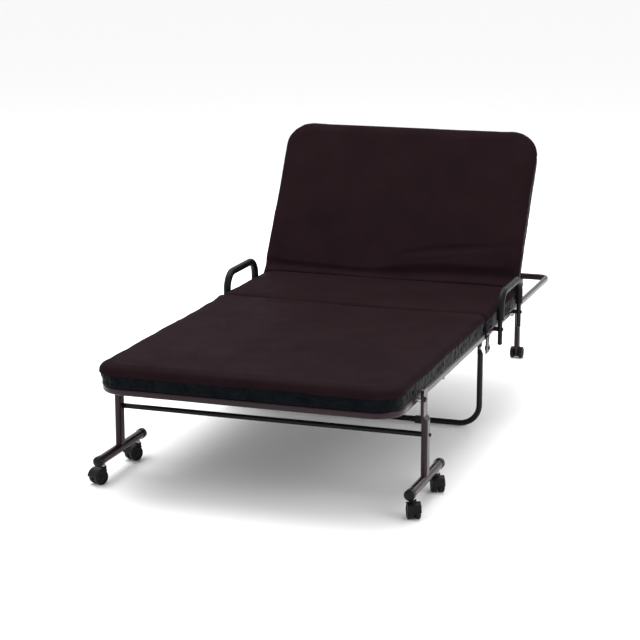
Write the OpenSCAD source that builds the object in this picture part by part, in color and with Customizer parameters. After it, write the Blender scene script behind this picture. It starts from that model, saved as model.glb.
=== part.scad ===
// Folding cot with a reclining head end.
// Two tube frames meet at a hinge across the middle and fold upwards like a book
// until the cot stands on the four casters of its foot-end stand.
// +X is the sleeper's right seen from the foot end, +Y runs from foot to head, +Z is up.
// The origin is on the floor under the middle of the whole cot.

/* [Frame] */
// Width over the two side rails
frame_w = 885; // [780:1:1000]
// Length from the foot rail's centreline to the head rail's
frame_l = 1876; // [1760:1:2050]
// Height of the rails' centreline above the floor
rail_z = 300; // [286:1:340]
// Height of the flat-oval rail tube
rail_h = 22; // [20:0.5:25]
// Thickness of the flat-oval rail tube
rail_t = 15; // [12:0.5:17]
// Bend radius of the foot end's corners, on the centreline
foot_corner_r = 75; // [40:1:110]
// Bend radius of the head end's corners, on the centreline
head_corner_r = 28; // [20:1:60]
// Diameter of the round cross tubes
brace_d = 16; // [12:0.5:18]
// Diameter of a deck wire
wire_d = 4; // [3:0.25:5]
// Wanted distance between deck wires
wire_pitch = 95; // [60:1:140]

/* [Layout along the cot, from the foot rail] */
// Foot stand's fold pivot
stand_at = 195; // [180:1:240]
// Middle hinge between the two frames
fold_at = 978; // [930:1:1010]
// Backrest hinge
recline_at = 1387; // [1340:1:1420]
// First leg of the lifting handles
handle_at = 1061; // [1050:1:1090]

/* [Foot stand] */
// Width of the flat-oval post, along the cot
post_w = 38; // [32:0.5:42]
// Thickness of the flat-oval post
post_t = 19; // [16:0.5:22]
// Thickness of the post's pressed-flat top
post_flat_t = 9; // [7:0.5:10]
// Gap between the side rail and the post
post_gap = 9; // [7:0.5:14]
// Outer diameter of the foot tube that carries the casters
skid_d = 28; // [25:0.5:32]
// Wall of the foot tube
skid_wall = 1.5; // [1.2:0.1:2.5]
// Length of the foot tube
skid_l = 306; // [280:1:340]
// Height of the foot tube's centreline
skid_z = 70; // [68:0.5:80]
// Diameter of the stand's crossbar
crossbar_d = 15; // [12:0.5:16]
// Height of the stand's crossbar
crossbar_z = 194; // [150:1:215]

/* [Casters] */
// Diameter of a caster wheel
caster_d = 44; // [40:0.5:48]
// Width of one wheel of the pair
caster_wheel_w = 14; // [11:0.5:15]
// Distance from the swivel axis back to the axle
caster_trail = 17; // [12:0.5:20]
// Distance between the two casters of one foot tube
caster_span = 243; // [220:1:255]
// Direction in which the casters trail, counted from the foot end
caster_turn = 25; // [0:5:355]

/* [Centre leg] */
// Diameter of the centre leg's tube
centre_leg_d = 18; // [16:0.5:20]
// Bend radius of its corners, on the centreline
centre_leg_r = 65; // [45:1:80]
// Height of its pivot below the rails' centreline
centre_leg_drop = 25; // [24:0.5:32]

/* [Head legs] */
// Distance between the two head legs
head_leg_span = 662; // [560:1:720]
// Depth of the flat-oval leg, along the cot
head_leg_w = 32; // [28:0.5:34]
// Thickness of the flat-oval leg
head_leg_t = 19; // [16:0.5:22]
// Height of the leg's pivot below the rails' centreline
head_leg_drop = 32; // [30:0.5:36]
// Diameter of a roller wheel
roller_d = 40; // [36:0.5:42]
// Width of one roller wheel
roller_w = 12; // [9:0.5:14]

/* [Hinges] */
// Depth of the middle hinge's axis below the rails' centreline
fold_drop = 42; // [40:0.5:48]
// Height of the backrest hinge's axis below the rails' centreline
recline_drop = 12; // [12:0.5:14]
// Backrest angle above level as the cot stands
backrest_tilt = 59; // [0:1:74]
// Steepest backrest angle that the hinge allows
backrest_tilt_max = 75; // [60:1:80]
// Diameter of the pivot pins and bolts
pin_d = 8; // [6:0.5:9]
// Thickness of the steel hinge plates
plate_t = 4; // [3:0.5:5]

/* [Handles] */
// Diameter of the handle's tube
handle_d = 15; // [13:0.5:16]
// Outer diameter of the soft grip
grip_d = 24; // [20:0.5:26]
// Distance between the handle's two legs
handle_l = 257; // [200:1:262]
// Height of the handle's top above the rails' centreline
handle_h = 115; // [90:1:140]
// Bend radius of the handle's corners
handle_r = 52; // [35:1:70]

/* [Mattress] */
// Thickness of the mattress
mattress_t = 61; // [50:1:80]
// How far the foot mattress reaches past the foot rail
foot_overhang = 20; // [15:1:40]
// Length of the backrest's mattress from the backrest hinge
backrest_l = 610; // [560:1:660]
// Corner radius at the two outer ends of the mattress
mattress_r = 95; // [60:1:120]

/* [Hidden] */

$fn = 48;

// Clearances
run = 0.05;        // radial, a pin turning in its hole
side = 0.4;        // sideways, between faces that turn past each other
seat = 1;          // between the mattress and what it lies on or beside
weld = 0.05;       // between two welded wires that cross

// Places
foot_y = -(frame_l + roller_d / 2 - foot_overhang) / 2;
head_y = foot_y + frame_l;
stand_y = foot_y + stand_at;
fold_y = foot_y + fold_at;
fold_z = rail_z - fold_drop;
recline_y = foot_y + recline_at;
recline_z = rail_z - recline_drop;
rail_x = (frame_w - rail_t) / 2;
rail_in = rail_x - rail_t / 2;
rail_out = rail_x + rail_t / 2;
butt = 2;          // from the middle hinge's plane back to each rail's end

// Foot stand
post_x = rail_out + post_gap + post_t / 2;
post_in = rail_out + post_gap;
post_y = stand_y + 9;
post_step_z = rail_z - 48;
post_top_z = rail_z + 29;
post_flat_x = post_in + post_flat_t;
crossbar_y = stand_y + rail_h / 2 + crossbar_d / 2 + 2.5;
cap_t = 1.6;
cap_l = 14;

// Casters
caster_axle_z = caster_d / 2;
caster_web_t = 8;
caster_axle_d = 6;
stem_d = 8;
sleeve_d = 13;
hood_gap = 1.2;    // between a wheel and the hood over it
hood_wall = 2.4;
hood_top_z = caster_d + hood_gap + hood_wall + 1.5;
caster_w = caster_web_t + 2 * (caster_wheel_w + 0.8);

// Centre leg
centre_leg_x = rail_in - plate_t - side - 8.5 + centre_leg_d / 2;
centre_leg_y = fold_y - 18;
centre_leg_z = rail_z - centre_leg_drop;
centre_leg_run_z = centre_leg_d / 2 + 3;
centre_eye_t = 7;
centre_eye_x = rail_in - plate_t - side - centre_eye_t / 2;

// Head legs
head_leg_x = head_leg_span / 2;
head_leg_z = rail_z - head_leg_drop;
roller_axle_d = 6;
roller_gap = 0.6;

// Handles
handle_x = rail_out + grip_d / 2 + 6.5;
handle_y0 = foot_y + handle_at;
handle_foot_z = rail_z - 45;
grip_foot_z = rail_z + 30;

// Mattress and backrest
mattress_z = rail_z + rail_h / 2 + seat;
mattress_half_w = handle_x - grip_d / 2 - 3;
fold_half = backrest_tilt_max / 2;
rest_v = recline_drop;                                  // backrest frame above its hinge axis, lying flat
pad_v = mattress_z - recline_z;                         // mattress underside above the hinge axis
backrest_d = 19;
arm_t = 6;
arm_x = rail_in - plate_t - side - arm_t / 2;
backrest_x = arm_x - arm_t / 2 + 2 - backrest_d / 2;
backrest_u = frame_l - recline_at - rail_t / 2 - backrest_d / 2 - 6;
backrest_r = 80;
arm_r = rest_v + rail_h / 2 - 3;

// ---------------------------------------------------------------- shared shapes

// Flat-oval outline: w across, h along, with round ends
module flat_oval(w, h) {
  square([w, h - w], center = true);
  for (s = [-1, 1]) translate([0, s * (h - w) / 2]) circle(d = w);
}

// Rectangle with its middle at the origin and round corners
module round_rect(w, h, r) {
  square([w - 2 * r, h], center = true);
  square([w, h - 2 * r], center = true);
  for (sx = [-1, 1], sy = [-1, 1]) translate([sx * (w / 2 - r), sy * (h / 2 - r)]) circle(r);
}

// U-shaped bar in the XY plane with the outline of its child:
// its closed end lies on y = 0, and its legs run along +Y to the given length
module bent_bar(half_span, length, r) {
  for (s = [-1, 1])
    translate([s * half_span, r, 0]) rotate([-90, 0, 0]) linear_extrude(length - r) children();
  translate([-(half_span - r), 0, 0]) rotate([90, 0, 90]) linear_extrude(2 * (half_span - r)) children();
  for (s = [0, 1])
    translate([(s == 0 ? 1 : -1) * (half_span - r), r, 0]) rotate([0, 0, s == 0 ? -90 : 180])
      rotate_extrude(angle = 90) translate([r, 0]) children();
}

// Cylinder along X with its middle at the given place
module x_bar(l, d) {
  rotate([0, 90, 0]) cylinder(h = l, d = d, center = true);
}

// Outline in the YZ plane, given as Y and Z, made into a plate across X
module x_plate(t) {
  rotate([90, 0, 90]) translate([0, 0, -t / 2]) linear_extrude(t) children();
}

// Its children on both sides of the cot
module both() {
  for (s = [0, 1]) mirror([s, 0, 0]) children();
}

// Screw head with a domed top, standing on x = 0 towards +X
module dome_head(d, h) {
  rotate([0, 90, 0]) rotate_extrude() intersection() {
    translate([0, h - d * 0.65]) circle(r = d * 0.65);
    square([d / 2, h]);
  }
}

// Hexagon nut with its middle on the X axis, from x = 0 towards +X
module hex_nut(af, h) {
  rotate([0, 90, 0]) cylinder(h = h, d = af / cos(30), $fn = 6);
}

// Moves its children from the flat backrest's frame to where the backrest stands
module on_backrest() {
  translate([0, recline_y, recline_z]) rotate([backrest_tilt, 0, 0]) children();
}

// ---------------------------------------------------------------- foot stand

module skid_place() {
  both() translate([post_x, post_y, skid_z]) children();
}

module skid_core(d, l) {
  rotate([90, 0, 0]) cylinder(h = l, d = d, center = true);
}

// Solid outline of the two posts, used for the post and for what is cut to meet it
module post_body() {
  intersection() {
    translate([post_x, post_y, skid_z]) linear_extrude(post_top_z - skid_z) flat_oval(post_t, post_w);
    translate([0, post_y, 0]) rotate([90, 0, 0]) translate([0, 0, -post_w]) linear_extrude(2 * post_w)
      polygon([[post_in - 1, skid_z], [post_in + post_t + 1, skid_z], [post_in + post_t + 1, post_step_z - 14],
               [post_flat_x, post_step_z], [post_in - 1, post_step_z]]);
  }
  translate([post_in + post_flat_t / 2, post_y, (post_top_z + post_step_z - 6) / 2])
    x_plate(post_flat_t) round_rect(post_w, post_top_z - post_step_z + 6, 9);
}

module foot_posts() {
  color("#33242a") both() difference() {
    post_body();
    translate([post_x, post_y, skid_z]) skid_core(skid_d, 2 * post_w);
    translate([post_x, stand_y, rail_z]) x_bar(4 * post_t, pin_d);
    translate([post_x, crossbar_y, crossbar_z]) x_bar(4 * post_t, 5);
  }
}

module foot_skids() {
  color("#33242a") skid_place() difference() {
    skid_core(skid_d, skid_l);
    skid_core(skid_d - 2 * skid_wall, skid_l + 2);
    for (s = [-1, 1]) translate([0, s * caster_span / 2, -skid_d]) cylinder(h = skid_d, d = sleeve_d);
  }
}

// Domed plastic cap over each end of a foot tube
module skid_end_caps() {
  color("#17171a") skid_place() for (s = [0, 1]) mirror([0, s, 0])
    translate([0, skid_l / 2 - cap_l, 0]) rotate([-90, 0, 0]) difference() {
      union() {
        cylinder(h = cap_l + cap_t, d = skid_d + 2 * cap_t);
        translate([0, 0, cap_l + cap_t]) intersection() {
          cylinder(h = skid_d, d = skid_d + 2 * cap_t);
          translate([0, 0, -8]) sphere(r = norm([8, skid_d / 2 + cap_t]));
        }
      }
      translate([0, 0, -1]) cylinder(h = cap_l + 1, d = skid_d);
    }
}

crossbar_screw_d = 5;
crossbar_screw_l = 60;

module crossbar_screw_place() {
  both() translate([post_x - crossbar_screw_l / 2, crossbar_y, crossbar_z]) children();
}

module foot_crossbar() {
  color("#1b1b1e") difference() {
    translate([0, crossbar_y, crossbar_z]) x_bar(2 * post_x, crossbar_d);
    both() post_body();
    crossbar_screw_place() x_bar(crossbar_screw_l + 2, crossbar_screw_d);
  }
}

module crossbar_screws() {
  color("#202024") {
    both() difference() {
      translate([post_x, crossbar_y, crossbar_z]) dome_head(11, post_t / 2 + 4);
      post_body();
    }
    crossbar_screw_place() x_bar(crossbar_screw_l, crossbar_screw_d - 2 * run);
  }
}

// Shoulder bolt through the post and the side rail, with its nut inside the rail
stand_nut_w = 13;
stand_nut_t = 6;

module stand_bolts() {
  color("#202024") both() translate([0, stand_y, rail_z]) {
    translate([post_flat_x, 0, 0]) dome_head(16, 5.5);
    translate([rail_in - side - stand_nut_t, 0, 0]) rotate([0, 90, 0])
      cylinder(h = post_flat_x - rail_in + side + stand_nut_t, d = pin_d);
    translate([rail_in - side - stand_nut_t, 0, 0]) hex_nut(stand_nut_w, stand_nut_t);
  }
}

// Steel sleeve in the foot tube that holds a caster's stem
module caster_sleeves() {
  color("#8a8a8e") skid_place() for (s = [-1, 1]) translate([0, s * caster_span / 2, 0])
    difference() {
      intersection() {
        translate([0, 0, -skid_d / 2 - 1]) cylinder(h = skid_d, d = sleeve_d);
        union() {
          skid_core(skid_d - 2 * skid_wall, skid_l);
          translate([-skid_d / 2, -skid_l / 2, -skid_d]) cube([skid_d, skid_l, skid_d]);
        }
      }
      translate([0, 0, -skid_d]) cylinder(h = skid_d + 8, d = stem_d + 2 * run);
    }
}

// ---------------------------------------------------------------- casters

// Puts a caster, drawn on its swivel axis at the floor and trailing along -Y, under a foot tube
module caster_place(sx, sy) {
  translate([sx * post_x, post_y + sy * caster_span / 2, 0]) rotate([0, 0, sx * caster_turn]) children();
}

module caster_hood() {
  color("#151518") difference() {
    union() {
      intersection() {
        translate([0, -caster_trail, caster_axle_z]) x_bar(caster_w, caster_d + 2 * (hood_gap + hood_wall));
        translate([-caster_w, -caster_trail - caster_d, caster_axle_z + 2])
          cube([2 * caster_w, caster_d + caster_trail, caster_d]);
      }
      translate([0, -caster_trail, caster_axle_z]) x_bar(caster_web_t, caster_d - 8);
      translate([0, 0, caster_axle_z + 2]) cylinder(h = hood_top_z - caster_axle_z - 2, d = 21);
    }
    for (s = [-1, 1])
      translate([s * (caster_web_t / 2 + caster_w / 2), -caster_trail, caster_axle_z])
        x_bar(caster_w, caster_d + 2 * hood_gap);
    translate([0, -caster_trail, caster_axle_z]) x_bar(2 * caster_w, caster_axle_d + 2 * run);
    translate([0, 0, caster_axle_z + 10]) cylinder(h = caster_d, d = stem_d);
  }
}

module caster_stem() {
  color("#9a9a9e") {
    translate([0, 0, caster_axle_z + 10]) cylinder(h = skid_z - caster_axle_z - 10 + 6, d = stem_d);
    translate([0, 0, hood_top_z]) cylinder(h = skid_z - skid_d / 2 - 1 - side - hood_top_z, d = 15);
  }
}

module caster_wheels() {
  color("#222225") translate([0, -caster_trail, caster_axle_z]) {
    for (s = [-1, 1]) translate([s * (caster_web_t / 2 + 0.4 + caster_wheel_w / 2), 0, 0])
      rotate([0, s * 90, 0]) rotate_extrude() difference() {
        union() {
          translate([0, -caster_wheel_w / 2]) square([caster_d / 2, caster_wheel_w - 3]);
          translate([0, -caster_wheel_w / 2]) square([caster_d / 2 - 3, caster_wheel_w]);
          translate([caster_d / 2 - 3, caster_wheel_w / 2 - 3]) circle(3);
        }
        translate([6, caster_wheel_w / 2 - 2]) square([caster_d / 2 - 12, 4]);
        square([caster_axle_d, 2 * caster_wheel_w], center = true);
      }
  }
}

module caster_axle() {
  color("#9a9a9e") translate([0, -caster_trail, caster_axle_z])
    x_bar(caster_web_t + 0.8 + 2 * caster_wheel_w, caster_axle_d);
}

module caster_hood_foot_left() { caster_place(-1, -1) caster_hood(); }
module caster_hood_foot_right() { caster_place(1, -1) caster_hood(); }
module caster_hood_inner_left() { caster_place(-1, 1) caster_hood(); }
module caster_hood_inner_right() { caster_place(1, 1) caster_hood(); }
module caster_stem_foot_left() { caster_place(-1, -1) caster_stem(); }
module caster_stem_foot_right() { caster_place(1, -1) caster_stem(); }
module caster_stem_inner_left() { caster_place(-1, 1) caster_stem(); }
module caster_stem_inner_right() { caster_place(1, 1) caster_stem(); }
module caster_wheels_foot_left() { caster_place(-1, -1) caster_wheels(); }
module caster_wheels_foot_right() { caster_place(1, -1) caster_wheels(); }
module caster_wheels_inner_left() { caster_place(-1, 1) caster_wheels(); }
module caster_wheels_inner_right() { caster_place(1, 1) caster_wheels(); }
module caster_axle_foot_left() { caster_place(-1, -1) caster_axle(); }
module caster_axle_foot_right() { caster_place(1, -1) caster_axle(); }
module caster_axle_inner_left() { caster_place(-1, 1) caster_axle(); }
module caster_axle_inner_right() { caster_place(1, 1) caster_axle(); }

// ---------------------------------------------------------------- foot frame

module foot_rail_bar() {
  translate([0, foot_y, rail_z]) bent_bar(rail_x, fold_at - butt, foot_corner_r) flat_oval(rail_t, rail_h);
}

module foot_rail() {
  color("#33242a") difference() {
    foot_rail_bar();
    translate([0, stand_y, rail_z]) x_bar(2 * frame_w, pin_d + 2 * run);
  }
}

foot_brace_ys = [foot_y + fold_at / 2, fold_y - 50];

// Cross tube welded under the side rails halfway, and one between them beside the middle hinge
module foot_braces() {
  color("#33242a") difference() {
    union() {
      translate([0, foot_brace_ys[0], rail_z - wire_d - 0.1 - brace_d / 2]) x_bar(2 * rail_x, brace_d);
      translate([0, foot_brace_ys[1], rail_z]) x_bar(2 * rail_x, brace_d);
    }
    foot_rail_bar();
  }
}

// Welded wire deck: cross wires over long wires, between y0 and y1 and as wide as given
module wire_deck(half_w, y0, y1, z) {
  cross_n = round((y1 - y0) / wire_pitch);
  long_n = round(2 * half_w / wire_pitch);
  for (i = [1:cross_n - 1])
    translate([0, y0 + i * (y1 - y0) / cross_n, z + wire_d / 2 + weld / 2]) x_bar(2 * half_w, wire_d);
  for (i = [1:long_n - 1])
    translate([-half_w + i * 2 * half_w / long_n, y0, z - wire_d / 2 - weld / 2])
      rotate([-90, 0, 0]) cylinder(h = y1 - y0, d = wire_d);
}

// The wires stop short of the nuts of the stand's bolts
module foot_deck() {
  color("#2a2023") difference() {
    wire_deck(rail_in, foot_y + rail_t / 2, foot_brace_ys[1] - brace_d / 2, rail_z);
    both() translate([rail_in, stand_y, rail_z]) x_bar(2 * (stand_nut_t + side + 1), 1.25 * stand_nut_w);
  }
}

// Bush on the outside of the side rail that the post's top turns against
module stand_bushes() {
  color("#8a8a8e") both() translate([rail_out, stand_y, rail_z]) rotate([0, 90, 0]) difference() {
    cylinder(h = post_gap - side, d = 19);
    translate([0, 0, -1]) cylinder(h = post_gap + 2, d = pin_d + 2 * run);
  }
}

hinge_rivet_ys = [-24, -12];      // from the hinge pin

// Plate on the outside of the foot rail's end, reaching down to the hinge pin
module foot_hinge_plates() {
  color("#5a4750") both() translate([rail_out + plate_t / 2, fold_y, fold_z]) x_plate(plate_t) difference() {
    union() {
      translate([-30, 0]) square([24, fold_drop + rail_h / 2 - 1]);
      circle(12);
      translate([-30, -12]) square([30, 18]);
    }
    circle(d = pin_d);
    for (y = hinge_rivet_ys) translate([y, fold_drop]) circle(d = 4);
  }
}

module hinge_rivets() {
  color("#202024") both() for (y = hinge_rivet_ys) translate([0, fold_y + y, rail_z]) {
    translate([rail_out, 0, 0]) rotate([0, 90, 0]) cylinder(h = plate_t, d = 4);
    translate([rail_out + plate_t, 0, 0]) dome_head(8, 2.6);
  }
}

lug_t = 5.6;
lug_x = rail_out - 0.3 - lug_t / 2;

// Rivet that holds the two frames together, fixed in the foot frame's plate
module fold_pins() {
  color("#202024") both() translate([0, fold_y, fold_z]) {
    translate([lug_x - lug_t / 2 - side - 2, 0, 0]) rotate([0, 90, 0])
      cylinder(h = rail_out + plate_t - lug_x + lug_t / 2 + side + 2, d = pin_d);
    translate([lug_x - lug_t / 2 - side - 2, 0, 0]) rotate([0, 90, 0]) cylinder(h = 2, d = 12);
    translate([rail_out + plate_t, 0, 0]) dome_head(13, 4);
  }
}

// Ear on the inside of the foot rail that carries the centre leg
module centre_leg_ears() {
  color("#1b1b1e") both() translate([rail_in - plate_t / 2, centre_leg_y, centre_leg_z]) x_plate(plate_t)
    difference() {
      union() {
        circle(11);
        translate([-11, 0]) square([22, centre_leg_drop + 3]);
      }
      circle(d = pin_d);
    }
}

module centre_leg_pins() {
  color("#202024") both() translate([0, centre_leg_y, centre_leg_z]) {
    translate([centre_eye_x - centre_eye_t / 2 - side, 0, 0]) rotate([0, 90, 0])
      cylinder(h = rail_in - centre_eye_x + centre_eye_t / 2 + side, d = pin_d);
    translate([centre_eye_x - centre_eye_t / 2 - side - 3, 0, 0]) rotate([0, 90, 0]) cylinder(h = 3, d = 13);
  }
}

// Foot mattress seen from above: wide corners at the foot end, small ones beside the middle hinge
module foot_mattress_outline(y0, y1) {
  inner_r = 26;
  wide_x = mattress_half_w - mattress_r;
  narrow_x = mattress_half_w - inner_r;
  for (s = [-1, 1]) {
    translate([s * wide_x, y0 + mattress_r]) circle(mattress_r);
    translate([s * narrow_x, y1 - inner_r]) circle(inner_r);
  }
  translate([-mattress_half_w, y0 + mattress_r])
    square([2 * mattress_half_w, y1 - y0 - mattress_r - inner_r]);
  translate([-wide_x, y0]) square([2 * wide_x, y1 - y0 - inner_r]);
  translate([-narrow_x, y0 + mattress_r]) square([2 * narrow_x, y1 - y0 - mattress_r]);
}

module foot_mattress() {
  color("#2b1e21") translate([0, 0, mattress_z]) linear_extrude(mattress_t)
    foot_mattress_outline(foot_y - foot_overhang, fold_y - 28);
}

// ---------------------------------------------------------------- centre leg

// U of tube standing on the floor, each top end pressed flat for its pivot
module centre_leg() {
  leg_h = centre_leg_z - centre_leg_run_z;
  color("#1b1b1e") difference() {
    union() {
      translate([0, centre_leg_y, centre_leg_run_z]) rotate([90, 0, 0])
        bent_bar(centre_leg_x, leg_h - 34, centre_leg_r) circle(d = centre_leg_d);
      both() translate([centre_leg_x, centre_leg_y, centre_leg_z - 34])
        cylinder(h = 14, d1 = centre_leg_d, d2 = centre_eye_t);
      both() translate([centre_eye_x, centre_leg_y, centre_leg_z]) x_plate(centre_eye_t) {
        circle(d = centre_leg_d);
        translate([-centre_leg_d / 2, -33]) square([centre_leg_d, 33]);
      }
    }
    translate([0, centre_leg_y, centre_leg_z]) x_bar(2 * frame_w, pin_d + 2 * run);
  }
}

// Rubber foot clipped round the bottom run
module centre_leg_pads() {
  pad_w = 26;
  color("#17171a") both() translate([230, centre_leg_y, centre_leg_run_z]) difference() {
    union() {
      x_bar(pad_w, centre_leg_d + 5);
      translate([-pad_w / 2, -9, -centre_leg_run_z]) cube([pad_w, 18, centre_leg_run_z]);
    }
    x_bar(pad_w + 2, centre_leg_d);
  }
}

// ---------------------------------------------------------------- head frame

module head_rail_bar() {
  translate([0, head_y, rail_z]) mirror([0, 1, 0])
    bent_bar(rail_x, frame_l - fold_at - butt, head_corner_r) flat_oval(rail_t, rail_h);
}

module head_rail() {
  color("#33242a") difference() {
    head_rail_bar();
    for (y = [handle_y0, handle_y0 + handle_l]) translate([0, y, rail_z]) x_bar(2 * frame_w, 6);
  }
}

ratchet_half = 42;                // half the length of the backrest hinge's fixed plate
head_brace_ys = [fold_y + 50, recline_y - ratchet_half - brace_d / 2 - 2];

module head_braces() {
  color("#33242a") difference() {
    for (y = head_brace_ys) translate([0, y, rail_z]) x_bar(2 * rail_x, brace_d);
    head_rail_bar();
  }
}

module seat_deck() {
  color("#2a2023")
    wire_deck(rail_in, head_brace_ys[0] + brace_d / 2, head_brace_ys[1] - brace_d / 2, rail_z);
}

// Lug under each end of the head rail that turns on the fold pin
module fold_lugs() {
  color("#33242a") difference() {
    both() translate([lug_x, fold_y, fold_z]) x_plate(lug_t) difference() {
      union() {
        circle(11);
        polygon([[0, -11], [13, -3], [26, fold_drop - 8], [26, fold_drop], [4, fold_drop], [4, 9], [-6, 9]]);
      }
      circle(d = pin_d + 2 * run);
    }
    head_rail_bar();
  }
}

// Fixed half of the backrest hinge on the inside of the side rail
module ratchet_plates() {
  color("#3a3a3e") both() translate([rail_in - plate_t / 2, recline_y, recline_z]) x_plate(plate_t)
    difference() {
      union() {
        circle(arm_r);
        translate([-ratchet_half, recline_drop - rail_h / 2 + 1]) square([2 * ratchet_half, rail_h - 4]);
      }
      circle(d = pin_d);
    }
}

module ratchet_pins() {
  color("#202024") both() translate([0, recline_y, recline_z]) {
    translate([arm_x - arm_t / 2 - side, 0, 0]) rotate([0, 90, 0])
      cylinder(h = rail_in - arm_x + arm_t / 2 + side, d = pin_d);
    translate([arm_x - arm_t / 2 - side - 3, 0, 0]) rotate([0, 90, 0]) cylinder(h = 3, d = 14);
  }
}

// Pair of ears under the head rail for each head leg
module head_leg_ears() {
  color("#33242a") difference() {
    both() for (s = [-1, 1])
      translate([head_leg_x + s * (head_leg_t / 2 + side + plate_t / 2), head_y, head_leg_z])
        x_plate(plate_t) difference() {
          union() {
            circle(12);
            translate([-12, 0]) square([24, head_leg_drop]);
          }
          circle(d = pin_d);
        }
    head_rail_bar();
  }
}

module head_leg_pins() {
  reach = head_leg_t / 2 + side + plate_t;
  color("#202024") both() translate([head_leg_x, head_y, head_leg_z]) {
    x_bar(2 * reach, pin_d);
    for (s = [0, 1]) mirror([s, 0, 0]) translate([reach, 0, 0]) dome_head(13, 3.5);
  }
}

// Seat's half of the head mattress; its back is cut on a slope so that the raised backrest clears it
module seat_mattress() {
  y0 = fold_y - 23 - recline_y;
  t0 = -(pad_v * tan(fold_half) + seat);
  t1 = -((pad_v + mattress_t) * tan(fold_half) + seat);
  color("#2b1e21") translate([0, recline_y, recline_z]) x_plate(2 * mattress_half_w)
    polygon([[y0, pad_v], [t0, pad_v], [t1, pad_v + mattress_t], [y0, pad_v + mattress_t]]);
}

// ---------------------------------------------------------------- handles

// Handle's centreline as a bent bar standing on its legs, outline from its child
module handle_bar(foot_z) {
  translate([handle_x, handle_y0 + handle_l / 2, rail_z + handle_h]) rotate([0, 0, 90]) rotate([-90, 0, 0])
    bent_bar(handle_l / 2, rail_z + handle_h - foot_z, handle_r) children();
}

module handle_legs() {
  both() for (y = [handle_y0, handle_y0 + handle_l]) translate([0, y, 0]) children();
}

module handle_tubes() {
  color("#1b1b1e") difference() {
    both() handle_bar(handle_foot_z) circle(d = handle_d);
    handle_legs() translate([handle_x, 0, rail_z]) x_bar(2 * handle_d, 6);
  }
}

module handle_grips() {
  color("#131315") both() handle_bar(grip_foot_z) difference() {
    circle(d = grip_d);
    circle(d = handle_d);
  }
}

// Saddle between the side rail and the handle's tube
module handle_spacers() {
  color("#17171a") difference() {
    handle_legs() translate([rail_out, 0, rail_z]) rotate([0, 90, 0]) cylinder(h = handle_x - rail_out, d = 14);
    both() handle_bar(handle_foot_z) circle(d = handle_d);
    handle_legs() translate([rail_out, 0, rail_z]) x_bar(60, 6);
  }
}

module handle_bolts() {
  color("#202024") handle_legs() translate([0, 0, rail_z]) {
    translate([rail_in - 4, 0, 0]) rotate([0, 90, 0]) cylinder(h = handle_x + handle_d / 2 - rail_in + 5, d = 6);
    translate([handle_x + handle_d / 2, 0, 0]) dome_head(12, 4);
    translate([rail_in - 4, 0, 0]) hex_nut(10, 4);
  }
}

module handle_end_plugs() {
  color("#17171a") handle_legs() translate([handle_x, 0, handle_foot_z]) intersection() {
    translate([0, 0, -6]) cylinder(h = 6, d = handle_d + 1);
    translate([0, 0, 2]) sphere(r = handle_d / 2 + 1);
  }
}

// ---------------------------------------------------------------- backrest

module backrest_bar() {
  translate([0, backrest_u, rest_v]) mirror([0, 1, 0])
    bent_bar(backrest_x, backrest_u - 26, backrest_r) circle(d = backrest_d);
}

module backrest_frame() {
  color("#33242a") on_backrest() backrest_bar();
}

backrest_brace_us = [52, backrest_u * 0.55];
backrest_deck_v = rest_v + 5.5;
backrest_brace_d = brace_d - 2;

module backrest_braces() {
  color("#33242a") on_backrest() difference() {
    for (u = backrest_brace_us)
      translate([0, u, backrest_deck_v - wire_d - 0.1 - backrest_brace_d / 2]) x_bar(2 * backrest_x, backrest_brace_d);
    backrest_bar();
  }
}

module backrest_deck() {
  color("#2a2023") on_backrest() difference() {
    wire_deck(backrest_x, backrest_brace_us[0] - 12, backrest_u, backrest_deck_v);
    backrest_bar();
  }
}

// Moving half of the backrest hinge, welded along the backrest's tube
module ratchet_arms() {
  color("#3a3a3e") on_backrest() difference() {
    both() translate([arm_x, 0, 0]) x_plate(arm_t) difference() {
      union() {
        circle(arm_r);
        translate([0, rest_v - backrest_d / 2 + 2]) square([112, backrest_d - 4]);
        polygon([[0, -arm_r], [60, rest_v - backrest_d / 2 + 2], [0, rest_v]]);
      }
      circle(d = pin_d + 2 * run);
    }
    backrest_bar();
  }
}

module backrest_mattress() {
  inner = pad_v * tan(fold_half) + seat;
  slope = (pad_v + mattress_t) * tan(fold_half) + seat;
  color("#2b1e21") on_backrest() intersection() {
    translate([0, 0, pad_v]) linear_extrude(mattress_t) union() {
      for (s = [-1, 1]) translate([s * (mattress_half_w - mattress_r), backrest_l - mattress_r]) circle(mattress_r);
      translate([-mattress_half_w, 0]) square([2 * mattress_half_w, backrest_l - mattress_r]);
      translate([-mattress_half_w + mattress_r, 0]) square([2 * (mattress_half_w - mattress_r), backrest_l]);
    }
    x_plate(2 * frame_w)
      polygon([[inner, pad_v], [slope, pad_v + mattress_t],
               [backrest_l + 1, pad_v + mattress_t], [backrest_l + 1, pad_v]]);
  }
}

// ---------------------------------------------------------------- head legs

module head_legs() {
  length = head_leg_z - roller_d / 2;
  color("#33242a") both() translate([head_leg_x, head_y, 0]) difference() {
    intersection() {
      translate([0, 0, -head_leg_w]) linear_extrude(rail_z + head_leg_w) flat_oval(head_leg_t, head_leg_w);
      translate([0, 0, (head_leg_z + roller_d / 2) / 2]) x_plate(2 * head_leg_t)
        flat_oval(head_leg_w, length + head_leg_w);
    }
    translate([0, 0, head_leg_z]) x_bar(2 * head_leg_t, pin_d + 2 * run);
    translate([0, 0, roller_d / 2]) x_bar(2 * head_leg_t, roller_axle_d);
  }
}

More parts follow.
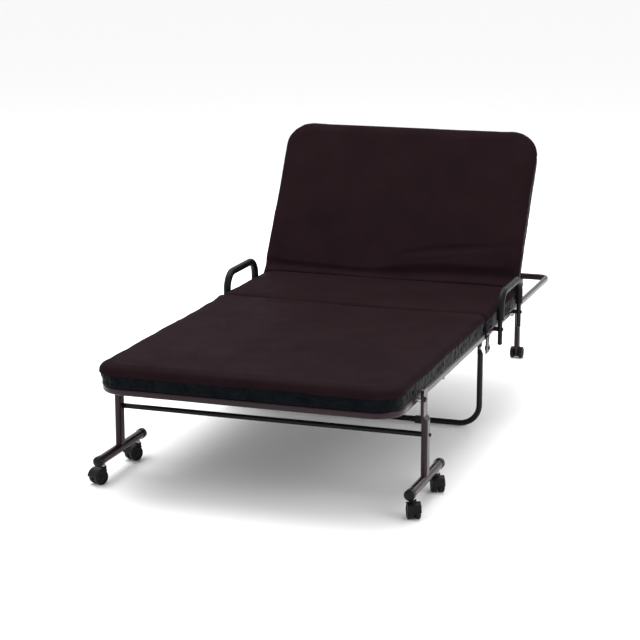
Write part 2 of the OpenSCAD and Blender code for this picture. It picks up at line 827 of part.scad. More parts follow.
module roller_wheels() {
  for (s = [-1, 1]) translate([s * (head_leg_t / 2 + roller_gap + roller_w / 2), 0, 0])
    rotate([0, s * 90, 0]) rotate_extrude() difference() {
      union() {
        translate([0, -roller_w / 2]) square([roller_d / 2, roller_w - 3]);
        translate([0, -roller_w / 2]) square([roller_d / 2 - 3, roller_w]);
        translate([roller_d / 2 - 3, roller_w / 2 - 3]) circle(3);
      }
      translate([5.5, roller_w / 2 - 2]) square([roller_d / 2 - 11, 4]);
      square([roller_axle_d + 2 * run, 4 * roller_w], center = true);
    }
}

module roller_wheels_left() {
  color("#222225") translate([-head_leg_x, head_y, roller_d / 2]) roller_wheels();
}

module roller_wheels_right() {
  color("#222225") translate([head_leg_x, head_y, roller_d / 2]) roller_wheels();
}

// Axle fixed in the leg's foot, with a cap outside each wheel
module roller_axles() {
  reach = head_leg_t / 2 + 2 * roller_gap + roller_w;
  color("#9a9a9e") both() translate([head_leg_x, head_y, roller_d / 2]) {
    x_bar(2 * reach, roller_axle_d);
    for (s = [0, 1]) mirror([s, 0, 0]) translate([reach, 0, 0]) dome_head(9, 2);
  }
}

foot_posts();
foot_skids();
skid_end_caps();
foot_crossbar();
crossbar_screws();
stand_bolts();
caster_sleeves();
caster_hood_foot_left();
caster_hood_foot_right();
caster_hood_inner_left();
caster_hood_inner_right();
caster_stem_foot_left();
caster_stem_foot_right();
caster_stem_inner_left();
caster_stem_inner_right();
caster_wheels_foot_left();
caster_wheels_foot_right();
caster_wheels_inner_left();
caster_wheels_inner_right();
caster_axle_foot_left();
caster_axle_foot_right();
caster_axle_inner_left();
caster_axle_inner_right();
foot_rail();
foot_braces();
foot_deck();
stand_bushes();
foot_hinge_plates();
fold_pins();
hinge_rivets();
centre_leg_ears();
centre_leg_pins();
foot_mattress();
centre_leg();
centre_leg_pads();
head_rail();
head_braces();
seat_deck();
fold_lugs();
ratchet_plates();
ratchet_pins();
head_leg_ears();
head_leg_pins();
seat_mattress();
handle_tubes();
handle_grips();
handle_spacers();
handle_bolts();
handle_end_plugs();
backrest_frame();
backrest_braces();
backrest_deck();
ratchet_arms();
backrest_mattress();
head_legs();
roller_wheels_left();
roller_wheels_right();
roller_axles();
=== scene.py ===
import math
from collections import namedtuple

import bmesh
import bpy
import numpy as np
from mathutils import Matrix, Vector, noise


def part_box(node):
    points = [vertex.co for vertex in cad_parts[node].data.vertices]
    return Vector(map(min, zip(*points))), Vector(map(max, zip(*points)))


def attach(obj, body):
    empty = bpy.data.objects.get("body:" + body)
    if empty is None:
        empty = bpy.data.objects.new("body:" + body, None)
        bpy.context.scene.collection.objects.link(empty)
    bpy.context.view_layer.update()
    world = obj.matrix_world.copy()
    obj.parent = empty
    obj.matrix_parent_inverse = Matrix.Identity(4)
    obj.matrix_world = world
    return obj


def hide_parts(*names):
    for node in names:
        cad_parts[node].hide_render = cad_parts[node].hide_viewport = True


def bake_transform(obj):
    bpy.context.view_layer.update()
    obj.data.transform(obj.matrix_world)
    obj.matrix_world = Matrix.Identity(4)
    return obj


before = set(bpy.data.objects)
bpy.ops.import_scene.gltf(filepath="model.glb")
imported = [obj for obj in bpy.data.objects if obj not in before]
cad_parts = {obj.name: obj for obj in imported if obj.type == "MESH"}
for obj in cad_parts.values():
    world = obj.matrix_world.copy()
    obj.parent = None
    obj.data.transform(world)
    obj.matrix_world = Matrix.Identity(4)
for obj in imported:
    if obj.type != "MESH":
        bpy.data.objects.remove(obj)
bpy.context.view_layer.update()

# ---------------------------------------------------------------- camera, light and floor

CAMERA_PLACE = (1.8315, -5.6472, 1.7255)
CAMERA_HEADING, CAMERA_DIP = math.radians(18.85), math.radians(13.3)
CAMERA_LENS, CAMERA_SENSOR = 108.43, 36.0
SURROUND = 1.02         # brightness of the white room
FLOOR_SIZE, FLOOR_GREY = 60, 0.93
LIGHTS = (              # name, place, aim, size, power
    ("key_light", (-0.9, 0.5, 4.3), (0, -0.1, 0.3), 3.6, 200),
    ("fill_light", (3.6, -1.6, 2.2), (0, 0, 0.3), 1.8, 30),
    ("back_light", (0.5, 3.6, 3.0), (0, 0.4, 0.4), 2.0, 40),
)


def look(heading, dip):
    """The direction of a level look towards +Y, turned by heading and tipped down by dip."""
    return Vector((-math.sin(heading) * math.cos(dip), math.cos(heading) * math.cos(dip), -math.sin(dip)))


def set_camera():
    camera = bpy.data.cameras.new("camera")
    camera.lens, camera.sensor_width = CAMERA_LENS, CAMERA_SENSOR
    camera.clip_start, camera.clip_end = 0.05, FLOOR_SIZE
    stand = bpy.data.objects.new("camera", camera)
    stand.location = CAMERA_PLACE
    stand.rotation_euler = look(CAMERA_HEADING, CAMERA_DIP).to_track_quat("-Z", "Y").to_euler()
    bpy.context.scene.collection.objects.link(stand)
    bpy.context.scene.camera = stand


def soft_box(name, place, aim, size, power):
    """A square studio light at place, turned towards aim."""
    light = bpy.data.lights.new(name, "AREA")
    light.shape, light.size, light.energy = "SQUARE", size, power
    stand = bpy.data.objects.new(name, light)
    stand.location = place
    stand.rotation_euler = (Vector(aim) - Vector(place)).to_track_quat("-Z", "Y").to_euler()
    bpy.context.scene.collection.objects.link(stand)


def set_studio():
    scene = bpy.context.scene
    scene.view_settings.view_transform = "Standard"
    world = bpy.data.worlds.new("studio")
    scene.world = world
    world.use_nodes = True
    room = world.node_tree.nodes["Background"]
    room.inputs["Color"].default_value = (1.0, 1.0, 1.0, 1)
    room.inputs["Strength"].default_value = SURROUND
    for light in LIGHTS:
        soft_box(*light)


def lay_floor():
    bpy.ops.mesh.primitive_plane_add(size=FLOOR_SIZE, location=(0, 0, 0))
    floor = bpy.context.object
    floor.name = "floor"
    paper = bpy.data.materials.new("pale_floor")
    paper.use_nodes = True
    shader = paper.node_tree.nodes["Principled BSDF"]
    shader.inputs["Base Color"].default_value = (FLOOR_GREY, FLOOR_GREY, FLOOR_GREY, 1)
    shader.inputs["Roughness"].default_value = 0.9
    shader.inputs["Specular IOR Level"].default_value = 0.1
    floor.data.materials.append(paper)


# ---------------------------------------------------------------- shader groups


def new_group(name, inputs, outputs):
    """A shader node group with float inputs (name, value) and the outputs (name, socket type)."""
    group = bpy.data.node_groups.new(name, "ShaderNodeTree")
    for label, value in inputs:
        socket = group.interface.new_socket(label, in_out="INPUT", socket_type="NodeSocketFloat")
        socket.default_value = value
    for label, kind in outputs:
        group.interface.new_socket(label, in_out="OUTPUT", socket_type=kind)
    return group, group.nodes.new("NodeGroupInput"), group.nodes.new("NodeGroupOutput")


def node(tree, kind, links=(), **values):
    """A node in tree. links are (input socket, output socket) pairs; values set its properties."""
    made = tree.nodes.new(kind)
    for key, value in values.items():
        setattr(made, key, value)
    for socket, source in links:
        if isinstance(source, (int, float)):
            made.inputs[socket].default_value = source
        else:
            tree.links.new(source, made.inputs[socket])
    return made


def make_mottle():
    """Slow change over the surface, from Low to High."""
    group, given, out = new_group(
        "mottle", [("Scale", 20), ("Low", 0.0), ("High", 1.0)], [("Value", "NodeSocketFloat")])
    place = node(group, "ShaderNodeTexCoord").outputs["Object"]
    cloud = node(group, "ShaderNodeTexNoise", [("Vector", place), ("Scale", given.outputs["Scale"]),
                                               ("Detail", 4.0), ("Roughness", 0.6)])
    spread = node(group, "ShaderNodeMapRange", [
        ("Value", cloud.outputs["Fac"]), ("From Min", 0.3), ("From Max", 0.7),
        ("To Min", given.outputs["Low"]), ("To Max", given.outputs["High"])])
    group.links.new(spread.outputs["Result"], out.inputs["Value"])
    return group


def make_scuffs():
    """Thin, rare handling marks: a mask from 0 to 1."""
    group, given, out = new_group(
        "scuffs", [("Scale", 30), ("Amount", 0.5)], [("Mask", "NodeSocketFloat")])
    place = node(group, "ShaderNodeTexCoord").outputs["Object"]
    warp = node(group, "ShaderNodeTexNoise", [("Vector", place), ("Scale", 9.0), ("Detail", 2.0)])
    bent = node(group, "ShaderNodeVectorMath", [(0, place), (1, warp.outputs["Color"])], operation="ADD")
    lines = node(group, "ShaderNodeTexVoronoi", [
        ("Vector", bent.outputs[0]), ("Scale", given.outputs["Scale"])], feature="DISTANCE_TO_EDGE")
    thin = node(group, "ShaderNodeMapRange", [
        ("Value", lines.outputs["Distance"]), ("From Min", 0.0), ("From Max", 0.018),
        ("To Min", 1.0), ("To Max", 0.0)])
    patch = node(group, "ShaderNodeTexNoise", [("Vector", place), ("Scale", 14.0), ("Detail", 3.0)])
    rare = node(group, "ShaderNodeMapRange", [
        ("Value", patch.outputs["Fac"]), ("From Min", 0.55), ("From Max", 0.75),
        ("To Min", 0.0), ("To Max", given.outputs["Amount"])])
    both = node(group, "ShaderNodeMath", [(0, thin.outputs[0]), (1, rare.outputs[0])], operation="MULTIPLY")
    group.links.new(both.outputs[0], out.inputs["Mask"])
    return group


def make_grain():
    """Fine even texture of powder paint, moulded plastic, foam or rubber, as a height in metres."""
    group, given, out = new_group(
        "grain", [("Scale", 900), ("Depth", 0.00005)], [("Height", "NodeSocketFloat")])
    place = node(group, "ShaderNodeTexCoord").outputs["Object"]
    pips = node(group, "ShaderNodeTexNoise", [
        ("Vector", place), ("Scale", given.outputs["Scale"]), ("Detail", 3.0)])
    tall = node(group, "ShaderNodeMath", [
        (0, pips.outputs["Fac"]), (1, given.outputs["Depth"])], operation="MULTIPLY")
    group.links.new(tall.outputs[0], out.inputs["Height"])
    return group


def make_weave():
    """Plain-woven threads on X, Y and Z, as a height in metres."""
    group, given, out = new_group(
        "weave", [("Pitch", 0.0012), ("Depth", 0.00012)], [("Height", "NodeSocketFloat")])
    place = node(group, "ShaderNodeTexCoord").outputs["Object"]
    turn = node(group, "ShaderNodeMath", [(0, 2 * math.pi), (1, given.outputs["Pitch"])], operation="DIVIDE")
    scaled = node(group, "ShaderNodeVectorMath", [(0, place), ("Scale", turn.outputs[0])], operation="SCALE")
    axes = node(group, "ShaderNodeSeparateXYZ", [("Vector", scaled.outputs[0])])
    slope = node(group, "ShaderNodeMath", [(0, axes.outputs["Y"]), (1, axes.outputs["Z"])], operation="ADD")
    warp = node(group, "ShaderNodeMath", [(0, axes.outputs["X"])], operation="SINE")
    weft = node(group, "ShaderNodeMath", [(0, slope.outputs[0])], operation="SINE")
    cross = node(group, "ShaderNodeMath", [(0, warp.outputs[0]), (1, weft.outputs[0])], operation="MULTIPLY")
    lift = node(group, "ShaderNodeMath", [
        (0, cross.outputs[0]), (1, given.outputs["Depth"])], operation="MULTIPLY")
    group.links.new(lift.outputs[0], out.inputs["Height"])
    return group


def make_crinkle():
    """Creases of thin crumpled non-woven cloth, as a height in metres."""
    group, given, out = new_group(
        "crinkle", [("Scale", 45), ("Depth", 0.002)], [("Height", "NodeSocketFloat")])
    place = node(group, "ShaderNodeTexCoord").outputs["Object"]
    warp = node(group, "ShaderNodeTexNoise", [("Vector", place), ("Scale", 26.0), ("Detail", 4.0)])
    shift = node(group, "ShaderNodeVectorMath", [
        (0, warp.outputs["Color"]), ("Scale", 0.05)], operation="SCALE")
    bent = node(group, "ShaderNodeVectorMath", [(0, place), (1, shift.outputs[0])], operation="ADD")
    facets = node(group, "ShaderNodeTexVoronoi", [
        ("Vector", bent.outputs[0]), ("Scale", given.outputs["Scale"])], feature="SMOOTH_F1")
    fine = node(group, "ShaderNodeTexNoise", [("Vector", place), ("Scale", 160.0), ("Detail", 3.0)])
    small = node(group, "ShaderNodeMath", [(0, fine.outputs["Fac"]), (1, 0.3)], operation="MULTIPLY")
    total = node(group, "ShaderNodeMath", [
        (0, facets.outputs["Distance"]), (1, small.outputs[0])], operation="ADD")
    lift = node(group, "ShaderNodeMath", [
        (0, total.outputs[0]), (1, given.outputs["Depth"])], operation="MULTIPLY")
    group.links.new(lift.outputs[0], out.inputs["Height"])
    return group


MOTTLE, SCUFFS, GRAIN, WEAVE, CRINKLE = (
    make_mottle(), make_scuffs(), make_grain(), make_weave(), make_crinkle())


def placed(tree, group, **values):
    """A node group in a material's tree with its own values."""
    made = tree.nodes.new("ShaderNodeGroup")
    made.node_tree = group
    for label, value in values.items():
        made.inputs[label].default_value = value
    return made


# ---------------------------------------------------------------- materials


GLOSS_FINER = 2.3       # how much finer the roughness changes than the colour
SCUFF_SCALE = 34


def material(name, dark, light, rough, mottle, texture, metallic=0.0, worn=None, scuffs=0.0, sockets=None):
    """A finish whose colour runs from dark to light, and its roughness over the pair rough.

    texture is (group, its values); worn is the colour under handling marks, as strong as scuffs;
    sockets are constants on the shader."""
    made = bpy.data.materials.new(name)
    made.use_nodes = True
    made.diffuse_color = (*light, 1)
    tree = made.node_tree
    shader = tree.nodes["Principled BSDF"]
    tone = placed(tree, MOTTLE, Scale=mottle)
    colour = node(tree, "ShaderNodeMix", [("Factor", tone.outputs["Value"])], data_type="RGBA")
    colour.inputs["A"].default_value = (*dark, 1)
    colour.inputs["B"].default_value = (*light, 1)
    result = colour.outputs["Result"]
    if worn:
        marks = placed(tree, SCUFFS, Scale=SCUFF_SCALE, Amount=scuffs)
        over = node(tree, "ShaderNodeMix", [("Factor", marks.outputs["Mask"])], data_type="RGBA")
        tree.links.new(result, over.inputs["A"])
        over.inputs["B"].default_value = (*worn, 1)
        result = over.outputs["Result"]
    tree.links.new(result, shader.inputs["Base Color"])
    gloss = placed(tree, MOTTLE, Scale=mottle * GLOSS_FINER, Low=rough[0], High=rough[1])
    tree.links.new(gloss.outputs["Value"], shader.inputs["Roughness"])
    shader.inputs["Metallic"].default_value = metallic
    for label, value in (sockets or {}).items():
        shader.inputs[label].default_value = value
    group, values = texture
    relief = placed(tree, group, **values)
    bump = node(tree, "ShaderNodeBump", [("Height", relief.outputs["Height"]), ("Distance", 1.0)])
    tree.links.new(bump.outputs["Normal"], shader.inputs["Normal"])
    return made


FINISHES = {
    "frame_paint": dict(
        dark=(0.012, 0.005, 0.0075), light=(0.020, 0.0085, 0.012), rough=(0.20, 0.30), mottle=14,
        metallic=0.1, texture=(GRAIN, {"Scale": 260, "Depth": 0.00012}),
        worn=(0.035, 0.02, 0.024), scuffs=0.35,
        sockets={"Specular IOR Level": 0.14, "Coat Weight": 0.14, "Coat Roughness": 0.08}),
    "black_paint": dict(
        dark=(0.003, 0.003, 0.004), light=(0.006, 0.006, 0.007), rough=(0.26, 0.36), mottle=16,
        texture=(GRAIN, {"Scale": 300, "Depth": 0.00012}),
        worn=(0.03, 0.03, 0.03), scuffs=0.3,
        sockets={"Specular IOR Level": 0.14, "Coat Weight": 0.06, "Coat Roughness": 0.12}),
    "deck_wire": dict(
        dark=(0.008, 0.008, 0.009), light=(0.018, 0.018, 0.018), rough=(0.35, 0.5), mottle=30,
        metallic=0.3, texture=(GRAIN, {"Scale": 700, "Depth": 0.0001})),
    "dark_bolt": dict(
        dark=(0.012, 0.011, 0.011), light=(0.03, 0.028, 0.027), rough=(0.25, 0.4), mottle=60,
        metallic=0.8, texture=(GRAIN, {"Scale": 900, "Depth": 0.00006}),
        worn=(0.1, 0.095, 0.09), scuffs=0.4,
        sockets={"Specular IOR Level": 0.2}),
    "plated_steel": dict(
        dark=(0.42, 0.41, 0.40), light=(0.56, 0.55, 0.54), rough=(0.2, 0.34), mottle=50,
        metallic=1.0, texture=(GRAIN, {"Scale": 1200, "Depth": 0.00005})),
    "black_plastic": dict(
        dark=(0.004, 0.004, 0.005), light=(0.008, 0.008, 0.009), rough=(0.30, 0.42), mottle=40,
        texture=(GRAIN, {"Scale": 1100, "Depth": 0.00008}),
        sockets={"Specular IOR Level": 0.12}),
    "wheel_plastic": dict(
        dark=(0.005, 0.005, 0.006), light=(0.012, 0.012, 0.013), rough=(0.38, 0.52), mottle=60,
        texture=(GRAIN, {"Scale": 800, "Depth": 0.0001}),
        worn=(0.03, 0.029, 0.027), scuffs=0.5,
        sockets={"Specular IOR Level": 0.10}),
    "foot_rubber": dict(
        dark=(0.010, 0.010, 0.010), light=(0.020, 0.020, 0.020), rough=(0.6, 0.75), mottle=60,
        texture=(GRAIN, {"Scale": 600, "Depth": 0.00015}),
        sockets={"Specular IOR Level": 0.2}),
    "grip_foam": dict(
        dark=(0.003, 0.003, 0.004), light=(0.006, 0.006, 0.007), rough=(0.34, 0.48), mottle=40,
        texture=(GRAIN, {"Scale": 1500, "Depth": 0.00012}),
        sockets={"Specular IOR Level": 0.10}),
    "mattress_cover": dict(
        dark=(0.0100, 0.0052, 0.0064), light=(0.0135, 0.0070, 0.0086), rough=(0.50, 0.62), mottle=7,
        texture=(WEAVE, {"Pitch": 0.0016, "Depth": 0.00005}),
        sockets={"Specular IOR Level": 0.004, "Sheen Weight": 0.004, "Sheen Roughness": 0.4,
                 "Sheen Tint": (0.9, 0.78, 0.8, 1)}),
    "mattress_band": dict(
        dark=(0.0022, 0.0032, 0.0044), light=(0.0048, 0.0062, 0.0080), rough=(0.34, 0.5), mottle=30,
        texture=(CRINKLE, {"Scale": 55, "Depth": 0.006}),
        sockets={"Specular IOR Level": 0.02}),
}


def make_materials():
    """Every finish of the cot, by its name."""
    return {name: material(name, **look) for name, look in FINISHES.items()}


# brackets and axles that take the black paint
BLACKENED = ("foot_hinge_plates", "fold_lugs", "head_leg_ears", "caster_axle", "roller_axles", "ratchet_arms",
             "ratchet_plates")


def paint_frame(finishes):
    """Each piece takes the finish of its slot in the frame, and those in BLACKENED the black paint."""
    for name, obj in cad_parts.items():
        slot = obj.data.materials[0].name.split(".")[0]
        obj.data.materials.clear()
        obj.data.materials.append(finishes["black_paint" if name.startswith(BLACKENED) else slot])


# ---------------------------------------------------------------- mattress

BASE_Z = 0.312          # where a mattress lies on its deck
THICKNESS = 0.061
SEAM_HEIGHT = 0.038     # the cover's edge turns under here, over the side band
EDGE_LIP = 0.004        # how tall the turned-under edge is
BAND_INSET = 0.006      # how far the band stands back under the cover
VOXEL = 0.009
SWELL_ROOM = 0.0045     # the pad starts this much smaller and swells
SWELL_CAP = 0.010       # no point swells further than this
TOP_EDGE, LOW_EDGE = 0.017, 0.006       # radii of the pad's top and bottom edges
PRESSURE = 4.0
SIM_FRAMES = 20
STRETCH_STIFFNESS, BEND_STIFFNESS, CLOTH_QUALITY = 12, 3, 4


def rounded_loop(half, near, far, near_r, far_r, inset, z, steps=9):
    """Points of a rectangle |x| < half, near < y < far, with round corners, pulled in by inset."""
    points = []
    corners = [(half, near, near_r, -90), (half, far, far_r, 0),
               (-half, far, far_r, 90), (-half, near, near_r, 180)]
    for x, y, radius, start in corners:
        middle = Vector((x - math.copysign(radius, x), y + (radius if start in (-90, 180) else -radius)))
        short = max(radius - inset, 0.001)
        for step in range(steps + 1):
            turn = math.radians(start + 90 * step / steps)
            points.append((middle.x + short * math.cos(turn), middle.y + short * math.sin(turn), z))
    return points


def slab(name, half, near, far, near_r, far_r):
    """A flat pad, SWELL_ROOM smaller than its space, with a rounder edge at the top than below."""
    mesh = bmesh.new()
    rings = []
    top, low = THICKNESS - SWELL_ROOM * 0.6, 0.001
    profile = [(LOW_EDGE * (1 - math.sin(a)), low + LOW_EDGE * (1 - math.cos(a)))
               for a in map(math.radians, (0, 30, 60, 90))]
    profile += [(0.0, SEAM_HEIGHT)]
    profile += [(TOP_EDGE * (1 - math.cos(a)), top - TOP_EDGE * (1 - math.sin(a)))
                for a in map(math.radians, (0, 20, 40, 60, 90))]
    for inset, height in profile:
        points = rounded_loop(half, near, far, near_r, far_r, inset + SWELL_ROOM, BASE_Z + height)
        rings.append([mesh.verts.new(p) for p in points])
    for lower, upper in zip(rings, rings[1:]):
        for i in range(len(lower)):
            j = (i + 1) % len(lower)
            mesh.faces.new((lower[i], lower[j], upper[j], upper[i]))
    mesh.faces.new(list(reversed(rings[0])))
    mesh.faces.new(rings[-1])
    data = bpy.data.meshes.new(name)
    mesh.to_mesh(data)
    mesh.free()
    obj = bpy.data.objects.new(name, data)
    bpy.context.scene.collection.objects.link(obj)
    return obj


def applied(obj):
    """obj with its modifiers applied to its mesh."""
    bpy.context.view_layer.update()
    shape = bpy.data.meshes.new_from_object(obj.evaluated_get(bpy.context.evaluated_depsgraph_get()))
    obj.modifiers.clear()
    obj.data = shape
    return obj


def coordinates(obj):
    points = np.empty(len(obj.data.vertices) * 3)
    obj.data.vertices.foreach_get("co", points)
    return points.reshape(-1, 3)


def set_coordinates(obj, points):
    obj.data.vertices.foreach_set("co", points.astype(np.float32).ravel())
    obj.data.update()


def stuffed(obj):
    """Voxel remesh, then cloth blown up by its filling, with each point's movement capped."""
    remesh = obj.modifiers.new("remesh", "REMESH")
    remesh.mode, remesh.voxel_size, remesh.use_smooth_shade = "VOXEL", VOXEL, True
    applied(obj)
    before = coordinates(obj)
    cloth = obj.modifiers.new("cloth", "CLOTH")
    cloth.settings.use_pressure = True
    cloth.settings.uniform_pressure_force = PRESSURE
    cloth.settings.effector_weights.gravity = 0
    cloth.settings.tension_stiffness = cloth.settings.compression_stiffness = STRETCH_STIFFNESS
    cloth.settings.bending_stiffness = BEND_STIFFNESS
    cloth.settings.quality = CLOTH_QUALITY
    cloth.point_cache.frame_start, cloth.point_cache.frame_end = 1, SIM_FRAMES
    for step in range(1, SIM_FRAMES + 1):
        bpy.context.scene.frame_set(step)
    applied(obj)
    bpy.context.scene.frame_set(1)
    after = coordinates(obj)
    move = after - before
    length = np.linalg.norm(move, axis=1, keepdims=True)
    move *= np.minimum(1, SWELL_CAP / np.maximum(length, 1e-9))
    set_coordinates(obj, before + move)
    subdivide = obj.modifiers.new("subdivide", "SUBSURF")
    subdivide.levels = subdivide.render_levels = 1
    applied(obj)
    return obj


def wave(x, y, z, seed):
    """Smooth noise between about -1 and 1, another one for each seed."""
    return noise.noise(Vector((x, y, z + 7.3 * seed)))


def filled_out(obj, half, near, far):
    """Stretches the swollen pad level so that it fills its space from side to side and end to end."""
    points = coordinates(obj)
    low, high = points.min(0), points.max(0)
    points[:, 0] = (points[:, 0] - (low[0] + high[0]) / 2) * 2 * half / (high[0] - low[0])
    points[:, 1] = near + (points[:, 1] - low[1]) * (far - near) / (high[1] - low[1])
    set_coordinates(obj, points)
    return obj


# A long crease on the top: where it lies along the pad and its slant across it, its depth (a ridge
# if negative) and half width, and where it fades out on the left and the right.
Crease = namedtuple("Crease", "place slant depth width left right")
CREASE_FADE = 0.045     # how gradually a crease fades at its ends
CREASE_WANDER = 0.012   # how far it strays from a straight line
BROAD_WAVE, SMALL_WAVE = 0.0026, 0.0014     # heights of the waves across the top
SIDE_CRUMPLE = 0.0016
RIM, RIM_WANDER, RIM_TUCK, RIM_WAVE = 0.9, 0.0032, 0.0012, 0.0030   # the rim's share, and its unevenness


def crease_depth(crease, x, y):
    """How far a crease presses the top in at x, y."""
    wander = CREASE_WANDER * wave(x * 3, crease.place * 9, 0, 4)
    across = (y - crease.place - crease.slant * x - wander) / crease.width
    if abs(across) >= 3:
        return 0.0
    fade_right = 1 + math.exp((x - crease.right) / CREASE_FADE)
    fade_left = 1 + math.exp((crease.left - x) / CREASE_FADE)
    return crease.depth / fade_right / fade_left * math.exp(-across * across)


def wrinkled(obj, creases, half):
    """Soft waves across the top, small crumples along the sides, an uneven rim, and the creases."""
    points = coordinates(obj)
    normals = np.empty(len(points) * 3)
    obj.data.vertices.foreach_get("normal", normals)
    normals = normals.reshape(-1, 3)
    for i, (x, y, z) in enumerate(points):
        height = (z - BASE_Z) / THICKNESS
        upward = max(0.0, normals[i][2])
        side = 1 - min(1.0, abs(normals[i][2]) * 1.4)
        lift = upward * (BROAD_WAVE * wave(x * 2.2, y * 9, 0, 1) + SMALL_WAVE * wave(x * 6, y * 22, 0, 2))
        lift += side * SIDE_CRUMPLE * wave(x * 26, y * 26, z * 9, 3) * (1.2 - height)
        outward = abs(x) / half
        if outward > RIM:
            lift += side * RIM_WANDER * wave(math.copysign(3, x), y * 6.5, 0, 5) - side * RIM_TUCK
            lift += upward * RIM_WAVE * (outward - RIM) * 10 * wave(math.copysign(2, x), y * 7.5, 0, 6)
        for crease in creases:
            lift -= upward * crease_depth(crease, x, y)
        points[i] += normals[i] * lift
    set_coordinates(obj, points)
    return obj


BAND_ROWS = 9
BAND_STEP = 0.006       # spacing of the band's points round the pad
BAND_CLOTH = 0.0012     # how thick the band's cloth is
BAND_CRUMPLE = 0.0026
BAND_LAP = 0.006        # how far the band reaches up behind the cover's edge
BAND_FLOAT = 0.0002     # its gap to the deck


def evenly(loop, step):
    """A closed loop of points resampled at even steps."""
    points = np.array(loop)[:, :2]
    sides = np.linalg.norm(np.roll(points, -1, 0) - points, axis=1)
    reach = np.concatenate([[0], np.cumsum(sides)])
    stops = np.linspace(0, reach[-1], int(reach[-1] / step), endpoint=False)
    closed = np.vstack([points, points[:1]])
    return np.stack([np.interp(stops, reach, closed[:, axis]) for axis in (0, 1)], 1), stops


def add_band(mesh, half, near, far, near_r, far_r):
    """The side band: a crumpled strip of thin cloth hung round the pad from under the cover's edge."""
    line, stops = evenly(rounded_loop(half, near, far, near_r, far_r, BAND_INSET, 0), BAND_STEP)
    ahead = np.roll(line, -1, 0) - np.roll(line, 1, 0)
    outward = np.stack([ahead[:, 1], -ahead[:, 0]], 1) / np.linalg.norm(ahead, axis=1, keepdims=True)
    layers = []
    for depth in (0.0, BAND_CLOTH):
        grid = []
        for row in range(BAND_ROWS):
            share = row / (BAND_ROWS - 1)
            height = BAND_FLOAT + (SEAM_HEIGHT + BAND_LAP) * share
            ring = []
            for (x, y), (nx, ny), stop in zip(line, outward, stops):
                fold = wave(x * 16, y * 16, height * 30, 8) + 0.6 * wave(x * 42, y * 42, height * 75, 9)
                push = BAND_CRUMPLE * fold * (0.35 + 1.3 * math.sin(math.pi * min(share, 0.85))) - depth
                ring.append(mesh.verts.new((x + nx * push, y + ny * push, BASE_Z + height)))
            grid.append(ring)
        layers.append(grid)
    outer, inner = layers
    for c in range(len(line)):
        d = (c + 1) % len(line)
        corners = []
        for row in range(BAND_ROWS - 1):
            corners.append((outer[row][c], outer[row][d], outer[row + 1][d], outer[row + 1][c]))
            corners.append((inner[row][d], inner[row][c], inner[row + 1][c], inner[row + 1][d]))
        corners.append((inner[0][c], inner[0][d], outer[0][d], outer[0][c]))
        corners.append((outer[-1][c], outer[-1][d], inner[-1][d], inner[-1][c]))
        for four in corners:
            mesh.faces.new(four).material_index = 1


def sewn(obj, finishes, half, near, far, near_r, far_r):
    """Turns the cover's edge under, sets the filling back behind it, and sews on the side band."""
    mesh = bmesh.new()
    mesh.from_mesh(obj.data)
    seam_z = BASE_Z + SEAM_HEIGHT
    for height in (seam_z, seam_z - EDGE_LIP):
        everything = mesh.verts[:] + mesh.edges[:] + mesh.faces[:]
        bmesh.ops.bisect_plane(
            mesh, geom=everything, dist=0.0004, plane_co=(0, 0, height), plane_no=(0, 0, 1))
    for face in mesh.faces:
        face.material_index = 1 if face.calc_center_median().z < seam_z - EDGE_LIP else 0
    middle = (0, (near + far) / 2)
    reach = (half, (far - near) / 2)
    setback = BAND_INSET + 2 * BAND_CRUMPLE
    for v in mesh.verts:
        if v.co.z < seam_z - EDGE_LIP + 0.0005:
            for axis in (0, 1):
                v.co[axis] = middle[axis] + (v.co[axis] - middle[axis]) * (1 - setback / reach[axis])
    add_band(mesh, half, near, far, near_r, far_r)
    for face in mesh.faces:
        face.smooth = True
    obj.data.materials.clear()
    obj.data.materials.append(finishes["mattress_cover"])
    obj.data.materials.append(finishes["mattress_band"])
    mesh.to_mesh(obj.data)
    mesh.free()
    return obj


def kept_in(obj, half, near, far):
    """Keeps the pad on its deck and inside its space."""
    points = coordinates(obj)
    points[:, 0] = np.clip(points[:, 0], -half, half)
    points[:, 1] = np.clip(points[:, 1], near, far)
    points[:, 2] = np.clip(points[:, 2], BASE_Z + 0.0003, BASE_Z + THICKNESS + 0.003)
    set_coordinates(obj, points)
    return obj


def made_pad(name, half, near, far, near_r, far_r, creases, finishes):
    """A finished flat pad: stuffed, creased, kept on its deck and sewn."""
    pad = slab(name, half, near, far, near_r, far_r)
    stuffed(pad)
    filled_out(pad, half, near, far)
    wrinkled(pad, creases, half)
    kept_in(pad, half + 0.003, near - 0.002, far + 0.002)
    return sewn(pad, finishes, half, near, far, near_r, far_r)


FOOT_CORNER, SPLIT_CORNER, HEAD_CORNER = 0.082, 0.022, 0.095    # corner radii at the foot, split and head


def make_foot_mattress(finishes):
    low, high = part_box("foot_mattress")
    half, near, far = high.x, low.y, high.y
    creases = [
        Crease(far - 0.040, 0.10, 0.0060, 0.012, left=-0.30, right=-0.13),
        Crease(far - 0.075, -0.10, 0.0040, 0.012, left=-0.24, right=-0.08),
        Crease(far - 0.028, 0.0, -0.0030, 0.014, left=-0.60, right=-0.05)]
    pad = made_pad("foot_pad", half, near, far, FOOT_CORNER, SPLIT_CORNER, creases, finishes)
    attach(pad, "foot_half")
    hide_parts("foot_mattress")


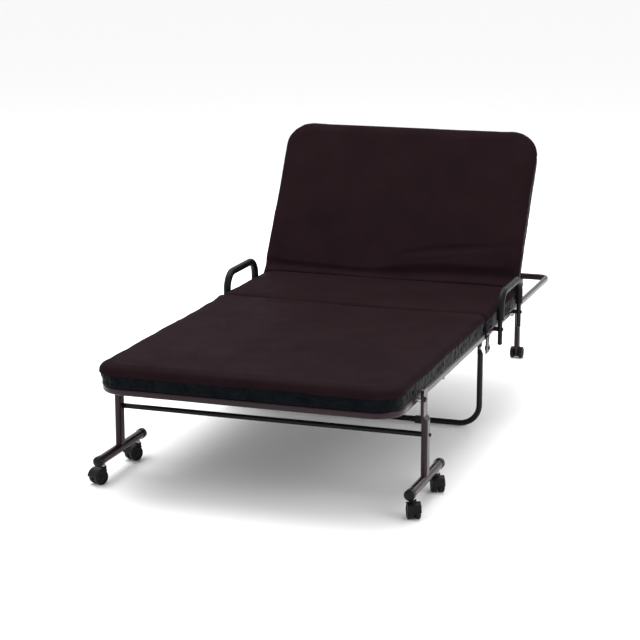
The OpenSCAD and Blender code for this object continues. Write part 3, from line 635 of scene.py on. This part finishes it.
AXIS_Y, AXIS_Z = 0.449, 0.288           # the recline hinge
REST_TILT = math.radians(59)
HEAD_END = 0.610        # how far the pad reaches along the backrest from the hinge
VALLEY_FLOOR = 0.026    # height of the closed valley over the hinge
VALLEY_GAP = 0.0012     # half the gap between its two sides


def bent_up(obj):
    """Folds the flat pad at the recline hinge. The top closes into a valley at the bend."""
    half_turn = REST_TILT / 2
    points = coordinates(obj)
    for i, (x, y, z) in enumerate(points):
        along, above = y - AXIS_Y, z - AXIS_Z
        reach = above * math.tan(half_turn)
        if abs(along) < reach:
            share = abs(along) / reach
            depth = VALLEY_FLOOR + (above - VALLEY_FLOOR) * (0.35 + 0.65 * share ** 0.8)
            above = min(above, depth)
            along = math.copysign(above * math.tan(half_turn) + VALLEY_GAP, along if along else 1)
        if along < 0:
            points[i] = (x, AXIS_Y + along, AXIS_Z + above)
        else:
            points[i] = (x, AXIS_Y + along * math.cos(REST_TILT) - above * math.sin(REST_TILT),
                         AXIS_Z + along * math.sin(REST_TILT) + above * math.cos(REST_TILT))
    set_coordinates(obj, points)
    return obj


def make_head_mattress(finishes):
    low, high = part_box("seat_mattress")
    half, near, far = high.x, low.y, AXIS_Y + HEAD_END
    creases = [
        Crease(AXIS_Y + 0.078, 0.03, 0.0150, 0.024, left=-0.02, right=0.60),
        Crease(AXIS_Y + 0.135, 0.14, 0.0080, 0.022, left=0.02, right=0.40),
        Crease(AXIS_Y + 0.120, -0.08, 0.0040, 0.020, left=-0.30, right=0.02),
        Crease(AXIS_Y + 0.070, -0.02, 0.0090, 0.018, left=-0.60, right=-0.02),
        Crease(AXIS_Y - 0.105, 0.02, 0.0035, 0.016, left=-0.38, right=0.05),
        Crease(near + 0.040, 0.03, 0.0035, 0.013, left=-0.60, right=-0.22)]
    pad = made_pad("head_pad", half, near, far, SPLIT_CORNER, HEAD_CORNER, creases, finishes)
    bent_up(pad)
    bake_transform(pad)
    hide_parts("seat_mattress", "backrest_mattress")


# ---------------------------------------------------------------- the scene

set_camera()
set_studio()
lay_floor()
finishes = make_materials()
paint_frame(finishes)
make_foot_mattress(finishes)
make_head_mattress(finishes)
